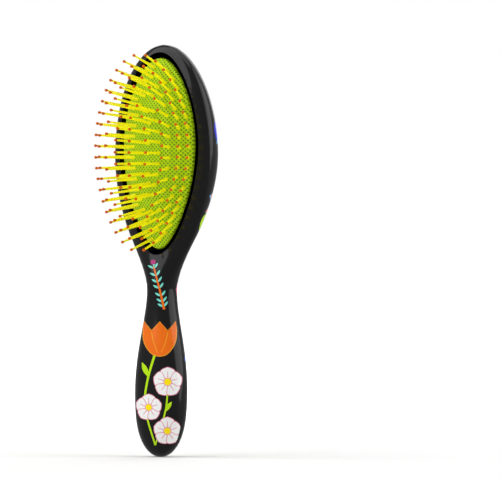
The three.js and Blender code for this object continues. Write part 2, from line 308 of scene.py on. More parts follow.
# ---------------------------------------------------------------- materials
def linear(code: str) -> tuple[float, float, float, float]:
    """An sRGB hex colour as linear red, green, blue and alpha."""
    values = [int(code[i : i + 2], 16) / 255 for i in (1, 3, 5)]
    return (*[v / 12.92 if v <= 0.04045 else ((v + 0.055) / 1.055) ** 2.4 for v in values], 1.0)


def add(
    tree: bpy.types.NodeTree, kind: str, settings: dict | None = None, links: dict | None = None
) -> bpy.types.Node:
    """Adds one node.

    Args:
        tree: the node tree.
        kind: the node's type name.
        settings: attributes, or input sockets by name or number, and their values.
        links: input sockets by name or number, and the output sockets they read.

    Returns:
        The node.
    """
    node = tree.nodes.new(kind)
    for name, value in (settings or {}).items():
        if isinstance(name, str) and hasattr(node, name):
            setattr(node, name, value)
        else:
            node.inputs[name].default_value = value
    for name, source in (links or {}).items():
        tree.links.new(source, node.inputs[name])
    return node


def blank(name: str) -> tuple[bpy.types.Material, bpy.types.NodeTree]:
    """A new material with an empty node tree."""
    material = bpy.data.materials.new(name)
    material.use_nodes = True
    material.node_tree.nodes.clear()
    return material, material.node_tree


def surface(tree: bpy.types.NodeTree, settings: dict, links: dict) -> None:
    """Ends a tree in a Principled surface with these settings and links."""
    shader = add(tree, "ShaderNodeBsdfPrincipled", settings, links)
    add(tree, "ShaderNodeOutputMaterial", {}, {"Surface": shader.outputs[0]})


@dataclass(frozen=True)
class PrintedLacquer:
    """ABS, moulded, then printed in one ink and sprayed with clear lacquer.

    The colour is flat and dense, with a trace of uneven ink, under a mirror-like coat with a faint
    orange peel.
    """

    name: str
    colour: str
    ink_grain_mm: float = 1.4
    unevenness: float = 0.07
    ink_roughness: float = 0.3
    ink_shine: float = 0.08
    peel_mm: float = 2.6
    peel_depth_mm: float = 0.012
    peel_strength: float = 0.25
    coat: float = 0.55
    coat_roughness: float = 0.07
    coat_ior: float = 1.5

    def build(self) -> bpy.types.Material:
        """Makes the material."""
        material, tree = blank(self.name)
        place = add(tree, "ShaderNodeTexCoord")
        grain = add(
            tree, "ShaderNodeTexNoise", {"Scale": 1 / (self.ink_grain_mm * MM), "Detail": 3.0},
            {"Vector": place.outputs["Object"]},
        )
        shade = add(
            tree, "ShaderNodeMapRange", {"To Min": 1 - self.unevenness, "To Max": 1 + self.unevenness},
            {"Value": grain.outputs["Fac"]},
        )
        colour = add(
            tree, "ShaderNodeVectorMath", {"operation": "SCALE", 0: linear(self.colour)[:3]},
            {"Scale": shade.outputs[0]},
        )
        peel = add(
            tree, "ShaderNodeTexNoise", {"Scale": 1 / (self.peel_mm * MM), "Detail": 1.0},
            {"Vector": place.outputs["Object"]},
        )
        bump = add(
            tree, "ShaderNodeBump", {"Strength": self.peel_strength, "Distance": self.peel_depth_mm * MM},
            {"Height": peel.outputs["Fac"]},
        )
        surface(
            tree,
            {
                "Roughness": self.ink_roughness,
                "Specular IOR Level": self.ink_shine,
                "Coat Weight": self.coat,
                "Coat Roughness": self.coat_roughness,
                "Coat IOR": self.coat_ior,
            },
            {"Base Color": colour.outputs[0], "Normal": bump.outputs[0], "Coat Normal": bump.outputs[0]},
        )
        return material


@dataclass(frozen=True)
class WovenRubber:
    """Rubber, moulded on a woven cloth, so that it shows a fine diagonal mesh of threads; the darker green in
    the gaps between them is painted shade.
    """

    name: str = "cushion_rubber_woven"
    thread: str = "#b4d60a"
    # painted shade: the darker green laid into the gaps between the threads, where shade falls
    gap: str = "#4c8000"
    pitch_mm: float = 1.7  # the real mesh is near 0.7 mm; drawn as coarse as it needs to be to show
    depth_mm: float = 0.09
    gap_shade_starts: float = 0.02
    gap_shade_full: float = 0.7
    gap_shade_strength: float = 0.95
    fade_mm: float = 14.0
    fade: float = 0.07
    roughness: float = 0.55
    shine: float = 0.15

    def build(self) -> bpy.types.Material:
        """Makes the material."""
        material, tree = blank(self.name)
        place = add(tree, "ShaderNodeTexCoord")
        parts = add(tree, "ShaderNodeSeparateXYZ", {}, {0: place.outputs["Object"]})
        turns = 2 * math.pi / (self.pitch_mm * MM * math.sqrt(2))
        waves = []
        for kind in ("ADD", "SUBTRACT"):
            along = add(
                tree, "ShaderNodeMath", {"operation": kind}, {0: parts.outputs["X"], 1: parts.outputs["Z"]}
            )
            phase = add(tree, "ShaderNodeMath", {"operation": "MULTIPLY", 1: turns}, {0: along.outputs[0]})
            wave = add(tree, "ShaderNodeMath", {"operation": "SINE"}, {0: phase.outputs[0]})
            half = {"operation": "MULTIPLY_ADD", 1: 0.5, 2: 0.5}
            waves.append(add(tree, "ShaderNodeMath", half, {0: wave.outputs[0]}).outputs[0])
        weave = add(tree, "ShaderNodeMath", {"operation": "MULTIPLY"}, {0: waves[0], 1: waves[1]})
        wander = add(
            tree, "ShaderNodeTexNoise", {"Scale": 1 / (self.fade_mm * MM), "Detail": 2.0},
            {"Vector": place.outputs["Object"]},
        )
        # painted shade: how far each place lies in a gap between threads, which mixes in the darker gap
        # colour
        holes = add(
            tree, "ShaderNodeMapRange",
            {"From Min": self.gap_shade_starts, "From Max": self.gap_shade_full, "To Max": self.gap_shade_strength},
            {"Value": weave.outputs[0]},
        )
        colour = add(
            tree, "ShaderNodeMix", {"data_type": "RGBA", 6: linear(self.thread), 7: linear(self.gap)},
            {0: holes.outputs[0]},
        )
        value = add(
            tree, "ShaderNodeMapRange", {"To Min": 1 - self.fade, "To Max": 1 + self.fade},
            {"Value": wander.outputs["Fac"]},
        )
        tint = add(
            tree, "ShaderNodeHueSaturation", {}, {"Color": colour.outputs[2], "Value": value.outputs[0]}
        )
        bump = add(
            tree, "ShaderNodeBump", {"Strength": 0.5, "Distance": self.depth_mm * MM, "invert": True},
            {"Height": weave.outputs[0]},
        )
        surface(
            tree,
            {"Roughness": self.roughness, "Specular IOR Level": self.shine},
            {"Base Color": tint.outputs[0], "Normal": bump.outputs[0]},
        )
        return material


@dataclass(frozen=True)
class MouldedNylon:
    """Nylon, injection moulded: dense colour with a little light inside, and a soft shine."""

    name: str
    colour: str
    roughness: float = 0.35
    shine: float = 0.35
    glow: float = 0.15
    glow_mm: float = 0.6
    grain_mm: float = 3.0

    def build(self) -> bpy.types.Material:
        """Makes the material."""
        material, tree = blank(self.name)
        place = add(tree, "ShaderNodeTexCoord")
        grain = add(
            tree, "ShaderNodeTexNoise", {"Scale": 1 / (self.grain_mm * MM), "Detail": 2.0},
            {"Vector": place.outputs["Object"]},
        )
        shade = add(
            tree, "ShaderNodeMapRange", {"To Min": 0.93, "To Max": 1.05}, {"Value": grain.outputs["Fac"]}
        )
        colour = add(
            tree, "ShaderNodeVectorMath", {"operation": "SCALE", 0: linear(self.colour)[:3]},
            {"Scale": shade.outputs[0]},
        )
        surface(
            tree,
            {
                "Roughness": self.roughness,
                "Specular IOR Level": self.shine,
                "Subsurface Weight": self.glow,
                "Subsurface Radius": (1.0, 0.8, 0.2),
                "Subsurface Scale": self.glow_mm * MM,
            },
            {"Base Color": colour.outputs[0]},
        )
        return material


@dataclass(frozen=True)
class PlainPlastic:
    """ABS, moulded and left as it comes: dark, with a fine grain that scatters the light."""

    name: str = "carrier_abs_moulded"
    colour: str = "#232326"
    grain_mm: float = 0.5

    def build(self) -> bpy.types.Material:
        """Makes the material."""
        material, tree = blank(self.name)
        place = add(tree, "ShaderNodeTexCoord")
        grain = add(
            tree, "ShaderNodeTexNoise", {"Scale": 1 / (self.grain_mm * MM), "Detail": 3.0},
            {"Vector": place.outputs["Object"]},
        )
        rough = add(
            tree, "ShaderNodeMapRange", {"To Min": 0.45, "To Max": 0.65}, {"Value": grain.outputs["Fac"]}
        )
        bump = add(
            tree, "ShaderNodeBump", {"Strength": 0.3, "Distance": 0.02 * MM}, {"Height": grain.outputs["Fac"]}
        )
        surface(
            tree, {"Base Color": linear(self.colour)},
            {"Roughness": rough.outputs[0], "Normal": bump.outputs[0]},
        )
        return material


# ---------------------------------------------------------------- mesh tools
Corners = list[tuple[int, np.ndarray]]  # a face as the vertex number and the normal of each corner


def sides(loop: Corners) -> list[tuple[tuple[int, np.ndarray], tuple[int, np.ndarray]]]:
    """Each corner of a face with the next one."""
    return list(zip(loop, loop[1:] + loop[:1]))


def nearby(points: np.ndarray, numbers: list[int]) -> KDTree:
    """A search tree of some of the points, by number."""
    tree = KDTree(len(numbers))
    for n in numbers:
        tree.insert(points[n], n)
    tree.balance()
    return tree


def filled_normals(mesh: bpy.types.Mesh, normals: np.ndarray) -> np.ndarray:
    """The given vertex normals, with the mesh's own where a given one is zero."""
    own = np.zeros(len(mesh.vertices) * 3, np.float32)
    mesh.vertices.foreach_get("normal", own)
    given = np.linalg.norm(normals, axis=1, keepdims=True) > 0.5
    return np.where(given, normals, own.reshape(-1, 3))


def facing_out(points: np.ndarray, loops: list[Corners]) -> list[Corners]:
    """Turns the faces of a closed surface so that all of them look outwards.

    Args:
        points: the vertices.
        loops: its faces.

    Returns:
        The same faces, some of them turned round.
    """
    users: dict[tuple[int, int], list[tuple[int, bool]]] = {}
    for number, loop in enumerate(loops):
        for (a, _), (b, _) in sides(loop):
            users.setdefault((min(a, b), max(a, b)), []).append((number, a < b))
    beside: list[list[tuple[int, bool]]] = [[] for _ in loops]
    for pair in users.values():
        if len(pair) == 2:
            (one, forward), (other, ahead) = pair
            beside[one].append((other, forward == ahead))
            beside[other].append((one, forward == ahead))
    turned: dict[int, bool] = {0: False}
    waiting = [0]
    while waiting:
        number = waiting.pop()
        for other, against in beside[number]:
            if other not in turned:
                turned[other] = turned[number] != against
                waiting.append(other)
    loops = [loop[::-1] if turned.get(number, False) else loop for number, loop in enumerate(loops)]
    volume = 0.0
    for loop in loops:
        for (b, _), (c, _) in zip(loop[1:], loop[2:]):
            volume += float(np.dot(points[loop[0][0]], np.cross(points[b], points[c])))
    return loops if volume > 0 else [loop[::-1] for loop in loops]


def stitched(
    points: np.ndarray, faces: list[tuple[int, ...]], normals: np.ndarray, seam: float
) -> tuple[list[tuple[int, ...]], list[tuple[float, ...]], list[int]]:
    """Closes the seams between the surfaces of one piece, and keeps the shading on each side of them.

    Args:
        points: the vertices.
        faces: vertex numbers of each face.
        normals: each vertex's normal, which each of its corners keeps.
        seam: how far a vertex may lie from an open edge that it is put into.

    Returns:
        The faces, the normal of each corner, and the old number of each face that is left.
    """
    tree = nearby(points, list(range(len(points))))
    first = [min(n for _, n, _ in tree.find_range(point, JOIN)) for point in points]
    loops, kept = [], []
    for number, face in enumerate(faces):
        loop = [(first[n], normals[n]) for i, n in enumerate(face) if first[n] != first[face[i - 1]]]
        if len(loop) > 2:
            loops.append(loop)
            kept.append(number)
    uses: dict[tuple[int, int], int] = {}
    for loop in loops:
        for (a, _), (b, _) in sides(loop):
            edge = min(a, b), max(a, b)
            uses[edge] = uses.get(edge, 0) + 1
    rim = sorted({n for edge, count in uses.items() if count == 1 for n in edge})
    tree = nearby(points, rim)
    whole = []
    for loop in loops:
        longer = []
        for (a, there), (b, here) in sides(loop):
            longer.append((a, there))
            if uses[min(a, b), max(a, b)] > 1:
                continue
            way = points[b] - points[a]
            long = float(np.linalg.norm(way))
            near = []
            for _, n, _ in tree.find_range((points[a] + points[b]) / 2, long / 2):
                share = float((points[n] - points[a]) @ way) / long**2
                off = float(np.linalg.norm(points[a] + way * share - points[n]))
                if n not in (a, b) and 0 < share < 1 and off < seam:
                    near.append((share, n))
            longer += [(n, there * (1 - share) + here * share) for share, n in sorted(near)]
        whole.append(longer)
    whole = facing_out(points, whole)
    corners = [tuple(normal) for loop in whole for _, normal in loop]
    return [tuple(n for n, _ in loop) for loop in whole], corners, kept


def make_piece(
    name: str,
    points: np.ndarray,
    faces: list[tuple[int, ...]],
    materials: list[bpy.types.Material],
    slots: np.ndarray | None = None,
    normals: np.ndarray | None = None,
    seam: float = 0.0,
) -> bpy.types.Object:
    """Makes a smooth-shaded object.

    Args:
        name: the piece's name.
        points: vertices in the frame, in metres.
        faces: vertex numbers of each face.
        materials: its material slots.
        slots: the material slot of each face.
        normals: one normal for each vertex; a zero one is worked out from the faces.
        seam: how far a vertex may lie from an open edge and still be joined to it, in metres; 0 joins none.

    Returns:
        The object, linked to the scene.
    """
    mesh = bpy.data.meshes.new(name)
    mesh.from_pydata(points.tolist(), [], faces)
    corners = None
    if seam and normals is not None:
        normals = filled_normals(mesh, normals)
        faces, corners, kept = stitched(points, faces, normals, seam)
        slots = slots[kept]
        mesh.clear_geometry()
        mesh.from_pydata(points.tolist(), [], faces)
    for material in materials:
        mesh.materials.append(material)
    if slots is not None:
        mesh.polygons.foreach_set("material_index", np.asarray(slots, np.int32))
    mesh.polygons.foreach_set("use_smooth", np.ones(len(mesh.polygons), bool))
    mesh.update()
    if corners is not None:
        mesh.normals_split_custom_set(corners)
    elif normals is not None:
        mesh.normals_split_custom_set_from_vertices(filled_normals(mesh, normals).tolist())
    piece = bpy.data.objects.new(name, mesh)
    bpy.context.scene.collection.objects.link(piece)
    return piece


def ring_faces(rows: list[list[int]], closed: bool = True) -> list[tuple[int, ...]]:
    """Quads between rows of vertex numbers that run the same way.

    Args:
        rows: vertex numbers, all rows equally long.
        closed: whether each row joins up with its own start.

    Returns:
        The faces.
    """
    faces = []
    for low, high in zip(rows, rows[1:]):
        count = len(low)
        for i in range(count if closed else count - 1):
            j = (i + 1) % count
            faces.append((low[i], low[j], high[j], high[i]))
    return faces


def inside(points: np.ndarray, loop: np.ndarray) -> np.ndarray:
    """Which points lie inside a closed outline.

    Args:
        points: rows of two coordinates.
        loop: the outline's corners.

    Returns:
        True for each point inside.
    """
    low, high = loop.min(axis=0), loop.max(axis=0)
    near = ((points >= low) & (points <= high)).all(axis=1)
    result = np.zeros(len(points), bool)
    p = points[near]
    if len(p) == 0:
        return result
    a, b = loop, np.roll(loop, -1, axis=0)
    crosses = (a[None, :, 1] > p[:, None, 1]) != (b[None, :, 1] > p[:, None, 1])
    rise = b[:, 1] - a[:, 1]
    rise = np.where(np.abs(rise) < 1e-12, 1e-12, rise)
    at = a[None, :, 0] + (p[:, None, 1] - a[None, :, 1]) * ((b[:, 0] - a[:, 0]) / rise)[None, :]
    result[near] = ((crosses & (p[:, None, 0] < at)).sum(axis=1) % 2) == 1
    return result


def triangles(free: np.ndarray, loops: list[np.ndarray]) -> tuple[np.ndarray, np.ndarray]:
    """A flat mesh over free points and closed outlines, with every outline kept as edges.

    Args:
        free: rows of two coordinates.
        loops: the outlines' corners.

    Returns:
        The points, and the three point numbers of each face.
    """
    points, edges, count = [free], [], len(free)
    for loop in loops:
        points.append(loop)
        edges += [(count + i, count + (i + 1) % len(loop)) for i in range(len(loop))]
        count += len(loop)
    made = delaunay_2d_cdt([Vector(p) for p in np.concatenate(points)], edges, [], 0, SAME)
    return np.array([tuple(p) for p in made[0]]), np.array([tuple(f) for f in made[2]])


def stand_in(piece: bpy.types.Object, node: str, body: str) -> bpy.types.Object:
    """Puts a piece in a CAD node's place, on its body."""
    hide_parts(node)
    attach(piece, body)
    return piece


@dataclass(frozen=True)
class Patch:
    """One printed shape: its ink and its closed outline on one half's chart."""

    ink: str
    side: Side
    outline: np.ndarray


# ---------------------------------------------------------------- shells
@dataclass
class Shells:
    """The two lacquered halves of the body, with the print laid into their surface."""

    placing: Placing
    form: BodyForm = field(default_factory=BodyForm)
    opening: Opening = field(default_factory=Opening)
    grid: float = 1.7
    crowding: float = 0.93
    wall: float = 2.2
    end_wall: float = 3.2
    least_hollow: float = 0.3
    lip_out: float = 3.4
    lip_floor: float = 1.9
    lip_edge: float = 2.6
    lip_roll: float = 1.7
    lip_rise: float = 1.1
    seat: float = 3.4
    lip_points: int = 200
    lining_points: int = 17
    tail_points: int = 13
    seam: float = 0.06

    def places(self) -> np.ndarray:
        """Places along the body, a grid apart and crowded at the round ends."""
        t = np.linspace(0, 1, int(self.form.length / self.grid))
        return self.form.length * (t - self.crowding * np.sin(2 * math.pi * t) / (2 * math.pi))

    @staticmethod
    def both_sides(half: np.ndarray, along: np.ndarray) -> np.ndarray:
        """An outline up the right and down the left, with one point at the top."""
        right = np.stack([half, along], axis=1)
        right[-1, 0] = 0
        return np.concatenate([right, right[-2::-1] * [-1, 1]])

    def chart_grid(self, side: Side) -> tuple[np.ndarray, np.ndarray]:
        """The border of a half's chart, and the points inside it."""
        along = self.places()
        reach = self.form.reach(along, side)
        tail = np.linspace(-reach[0], reach[0], self.tail_points)[1:-1]
        border = np.concatenate([self.both_sides(reach, along), np.stack([tail, tail * 0], axis=1)])
        inner = []
        for row, (edge, place) in enumerate(zip(reach[1:-1], along[1:-1]), 1):
            count = max(2, int(2 * edge / self.grid))
            shift = 0.5 * (row % 2) - 0.25
            across = -edge + (np.arange(1, count) + shift) * 2 * edge / count
            across = across[np.abs(across) < edge * 0.985]
            inner.append(np.stack([across, np.full(len(across), place)], axis=1))
        return border, np.concatenate(inner)

    def on_chart(self, patch: Patch, side: Side) -> np.ndarray:
        """A patch's outline on a half's chart, carried over the edge from the other half's if need be."""
        if patch.side is side:
            return patch.outline
        arc, along = patch.outline[:, 0], patch.outline[:, 1]
        whole = self.form.reach(along, Side.FRONT) + self.form.reach(along, Side.BACK)
        turn = np.sign(arc.mean())
        return np.stack([-turn * (whole - np.abs(arc)), along], axis=1)

    def inlay(
        self, side: Side, patches: list[Patch], inks: dict[str, int], hole: np.ndarray | None
    ) -> tuple[np.ndarray, list[tuple[int, ...]], np.ndarray]:
        """Meshes a half's outer surface so that every printed edge is an edge of the mesh.

        Args:
            side: which half.
            patches: printed shapes, the lowest first.
            inks: each ink's material slot.
            hole: an outline on the chart to leave open.

        Returns:
            Chart points, faces and each face's material slot.
        """
        border, inner = self.chart_grid(side)
        holes = [] if hole is None else [hole]
        for loop in holes:
            inner = inner[~inside(inner, loop)]
        widest = self.form.reach(border[:, 1], side).max()
        drawn = [(patch, self.on_chart(patch, side)) for patch in patches]
        drawn = [(patch, loop) for patch, loop in drawn if np.abs(loop[:, 0]).min() < widest]
        chart, faces = triangles(inner, [border, *holes, *(loop for _, loop in drawn)])
        middle = chart[faces].mean(axis=1)
        keep = inside(middle, border)
        for loop in holes:
            keep &= ~inside(middle, loop)
        faces, middle = faces[keep], middle[keep]
        slots = np.zeros(len(faces), np.int32)
        for patch, loop in drawn:
            slots[inside(middle, loop)] = inks[patch.ink]
        used = np.unique(faces)
        number = np.zeros(len(chart), int)
        number[used] = np.arange(len(used))
        return chart[used], [tuple(f) for f in number[faces]], slots

    def lining(self, first: int) -> tuple[np.ndarray, list[tuple[int, ...]]]:
        """The inside of the back half, a wall in from the outside, and its flat rim against the front half.

        Args:
            first: the number of the first vertex made here.

        Returns:
            Points as (across, out, along), and faces.
        """
        rim_along = self.places()
        rim = self.form.size(rim_along, 0)
        rim[-1] = 0
        along = self.end_wall + rim_along * (1 - 2 * self.end_wall / self.form.length)
        wide = np.maximum(self.form.size(along, 0) - self.wall, self.least_hollow)
        deep = np.maximum(self.form.size(along, 2) - self.wall, self.least_hollow)
        theta = np.linspace(0, math.pi, self.lining_points)
        power = 2 / self.form.power
        unit_x = np.sign(np.cos(theta)) * np.abs(np.cos(theta)) ** power
        unit_y = -(np.abs(np.sin(theta)) ** power)
        unit_y[[0, -1]] = 0
        points = []
        for edge, outer, w, d, place in zip(rim, rim_along, wide, deep, along):
            row = np.stack([w * unit_x, d * unit_y, np.full(len(theta), place)], axis=1)
            points.append(np.concatenate([[(edge, 0, outer)], row, [(-edge, 0, outer)]]))
        width = len(theta) + 2
        numbers = [[first + r * width + i for i in range(width)] for r in range(len(points))]
        faces = ring_faces(numbers, closed=False) + [tuple(numbers[0]), tuple(reversed(numbers[-1]))]
        return np.concatenate(points), faces

    def lip(self, first: int) -> tuple[np.ndarray, np.ndarray, list[tuple[int, ...]]]:
        """The rounded lip, from the rim's outer edge over and down into the groove, and out under it.

        Args:
            first: the number of the first vertex made here.

        Returns:
            Points as (across, out, along), normals where known, and faces.
        """
        count = self.lip_points

        def level(offset: float, out: float) -> np.ndarray:
            """The opening's outline at one height."""
            flat = self.opening.outline(offset, count)
            return np.stack([flat[:, 0], np.full(count, out), flat[:, 1]], axis=1)

        outer = self.opening.outline(self.lip_out, count)
        start = self.form.points(self.form.wrap(outer, Side.FRONT), Side.FRONT)
        start_normal = self.form.normals(start, Side.FRONT)
        inward = level(0, 0) - level(self.lip_out, 0)
        inward -= (inward * start_normal).sum(axis=1, keepdims=True) * start_normal
        inward /= np.linalg.norm(inward, axis=1, keepdims=True)
        end = level(0, self.lip_edge)
        rise = np.array([0, self.lip_rise, 0])
        rows = []
        for t in np.linspace(0, 1, 9):
            a, b, c, d = (1 - t) ** 3, 3 * t * (1 - t) ** 2, 3 * t * t * (1 - t), t**3
            rows.append(a * start + b * (start + inward * self.lip_roll) + c * (end + rise) + d * end)
        rows += [level(0, self.lip_floor), level(self.seat, self.lip_floor), level(self.seat, 0)]
        normals = np.zeros((len(rows) * count, 3))
        normals[:count] = start_normal
        numbers = [[first + r * count + i for i in range(count)] for r in range(len(rows))]
        return np.concatenate(rows), normals, ring_faces(numbers)

    def parting_face(self, first: int) -> tuple[np.ndarray, list[tuple[int, ...]]]:
        """The front shell's flat back, round the pocket that holds the cushion's flange.

        Args:
            first: the number of the first vertex made here.

        Returns:
            Points as (across, out, along), and faces.
        """
        along = self.places()
        edge = self.both_sides(self.form.size(along, 0), along)
        pocket = self.opening.outline(self.seat, self.lip_points)
        flat, faces = triangles(np.zeros((0, 2)), [edge, pocket])
        middle = flat[faces].mean(axis=1)
        faces = faces[inside(middle, edge) & ~inside(middle, pocket)]
        placed = np.stack([flat[:, 0], np.zeros(len(flat)), flat[:, 1]], axis=1)
        return placed, [tuple(int(first + n) for n in f) for f in faces]

    def tail_land(self, side: Side, first: int) -> tuple[np.ndarray, list[tuple[int, ...]]]:
        """The small flat at the tail's end."""
        reach = float(self.form.reach(np.array([0.0]), side)[0])
        chart = np.stack([np.linspace(-reach, reach, self.tail_points), np.zeros(self.tail_points)], axis=1)
        return self.form.points(chart, side), [tuple(range(first, first + self.tail_points))]

    def half(
        self, side: Side, patches: list[Patch], slots: dict[str, int]
    ) -> tuple[np.ndarray, list[tuple[int, ...]], np.ndarray, np.ndarray]:
        """Meshes one half.

        Args:
            side: which half.
            patches: the whole print, the lowest shape first.
            slots: each ink's material slot, 0 for the bare lacquer.

        Returns:
            Points, faces, normals where known, and each face's material slot.
        """
        hole = None
        if side is Side.FRONT:
            hole = self.form.wrap(self.opening.outline(self.lip_out, self.lip_points), side)
        chart, faces, slot = self.inlay(side, patches, slots, hole)
        points = self.form.points(chart, side)
        normals = self.form.normals(points, side)
        if side is Side.FRONT:
            lip, lip_normals, more = self.lip(len(points))
            flat, flat_faces = self.parting_face(len(points) + len(lip))
            points = np.concatenate([points, lip, flat])
            normals = np.concatenate([normals, lip_normals, np.tile([0.0, -1.0, 0.0], (len(flat), 1))])
            more += flat_faces
        else:
            inner, more = self.lining(len(points))
            points = np.concatenate([points, inner])
            normals = np.concatenate([normals, np.zeros_like(inner)])
        land, land_faces = self.tail_land(side, len(points))
        more += land_faces
        points = np.concatenate([points, land])
        normals = np.concatenate([normals, np.tile([0.0, 0.0, -1.0], (len(land), 1))])
        return points, faces + more, normals, np.concatenate([slot, np.zeros(len(more), np.int32)])

    def build(self, patches: list[Patch], inks: dict[str, bpy.types.Material]) -> list[bpy.types.Object]:
        """Builds both halves.

        Args:
            patches: the whole print, the lowest shape first.
            inks: the materials by ink, the first of them the bare lacquer.

        Returns:
            The front and the back piece.
        """
        slots = {ink: number for number, ink in enumerate(inks)}
        pieces = []
        for side in Side:
            points, faces, normals, slot = self.half(side, patches, slots)
            piece = make_piece(
                f"{side.value}_shell_printed", self.placing.metres(points), faces, list(inks.values()), slot,
                self.placing.way(normals), seam=self.seam * MM,
            )
            pieces.append(stand_in(piece, f"{side.value}_shell", "brush_body"))
        return pieces


# ---------------------------------------------------------------- cushion and pins
@dataclass
class AirCushion:
    """The domed rubber cushion, turned down into the groove and out under the lip."""

    placing: Placing
    dome: DomeForm = field(default_factory=DomeForm)
    gap: float = 0.35
    fillet: float = 0.9
    thickness: float = 1.6
    flange: float = 2.8
    seat: float = 1.9
    flange_floor: float = 0.5
    fillet_steps: int = 7
    around: int = 180
    rings: int = 40

    def row(self, offset: float, out: float | None, share: float = 1.0, drop: float = 0.0) -> np.ndarray:
        """One closed row of points.

        Args:
            offset: how far outside the opening its outline runs.
            out: its height, or None to lie on the dome.
            share: how far out towards the outline.
            drop: how far under the dome.

        Returns:
            Rows of (across, out, along).
        """
        flat = self.dome.opening.outline(offset, self.around)
        middle = np.array([0, self.dome.opening.centre])
        flat = middle + (flat - middle) * share
        height = self.dome.out(flat[:, 0], flat[:, 1]) - drop if out is None else np.full(len(flat), out)
        return np.stack([flat[:, 0], height, flat[:, 1]], axis=1)

    def build(self, material: bpy.types.Material) -> bpy.types.Object:
        """Builds the cushion.

        Args:
            material: its rubber.

        Returns:
            The piece.
        """
        edge, under = -self.gap - self.fillet, -self.gap - self.thickness
        rows = [self.row(edge, None, share) for share in np.linspace(0, 1, self.rings)[1:]]
        dome_edge = rows[-1][:, 1]
        for angle in np.linspace(0, math.pi / 2, self.fillet_steps)[1:]:
            round_row = self.row(edge + self.fillet * math.sin(angle), 0)
            round_row[:, 1] = dome_edge - self.fillet * (1 - math.cos(angle))
            rows.append(round_row)
        for offset, out in (
            (-self.gap, self.seat), (self.flange, self.seat),
            (self.flange, self.flange_floor), (under, self.flange_floor),
        ):
            rows.append(self.row(offset, out))
        rows += [self.row(under, None, share, self.thickness) for share in (1, 0.8, 0.6, 0.4, 0.2)]
        numbers = [[r * self.around + i for i in range(self.around)] for r in range(len(rows))]
        faces = ring_faces(numbers)
        top = np.array([[0, self.dome.edge + self.dome.height, self.dome.opening.centre]])
        low = top - np.array([[0, self.thickness, 0]])
        count = len(rows) * self.around
        for i in range(self.around):
            j = (i + 1) % self.around
            faces.append((numbers[0][j], numbers[0][i], count))
            faces.append((numbers[-1][i], numbers[-1][j], count + 1))
        points = self.placing.metres(np.concatenate([*rows, top, low]))
        piece = make_piece("air_cushion_woven", points, faces, [material])
        return stand_in(piece, "air_cushion", "brush_body")


@dataclass(frozen=True)
class PinRing:
    """One oval ring of pins: its share of the pin field's half-sizes, and its lean in degrees."""

    name: str
    body: str
    pins: int
    per_node: int
    wide: float
    long: float
    lean_side: float
    lean_end: float


Pin = tuple[np.ndarray, np.ndarray]  # where a pin comes out of the cushion, and its direction


